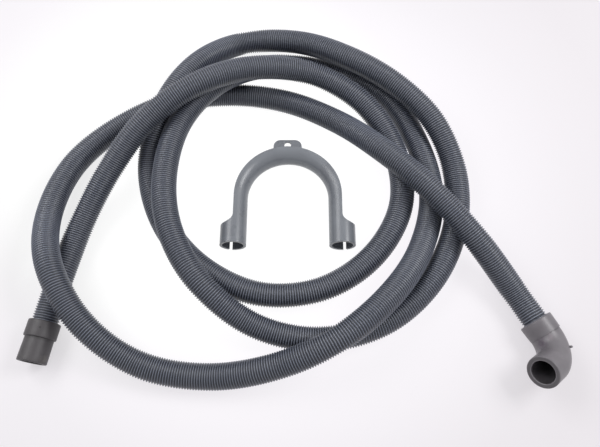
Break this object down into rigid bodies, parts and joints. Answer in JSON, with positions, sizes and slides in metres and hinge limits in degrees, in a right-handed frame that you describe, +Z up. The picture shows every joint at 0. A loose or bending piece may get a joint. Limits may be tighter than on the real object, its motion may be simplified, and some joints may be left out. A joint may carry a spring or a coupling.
{
  "type": "washing machine drain hose",
  "caption": "Corrugated grey drain hose lying in loose turns, with a straight rubber cuff, a right-angled rubber cuff and a U-shaped hose guide beside it.",
  "frame": {"origin": "on the floor, in the middle of the box around the whole lay", "axes": "+X along the lay's long side, from the straight cuff to the elbow; +Y away from the cuffs; +Z up from the floor"},
  "size_m": [0.5379, 0.4183, 0.0826],
  "materials": {
    "hose_plastic": "semi-gloss, finely corrugated",
    "cuff_rubber": "dark warm grey, satin",
    "elbow_rubber": "mid warm grey, satin",
    "guide_plastic": "satin moulded"
  },
  "bodies": {
    "root": {"corrugated_hose": "hose_plastic", "straight_cuff": "cuff_rubber", "elbow_cuff": "elbow_rubber", "hose_guide": "guide_plastic"}
  },
  "joints": []
}
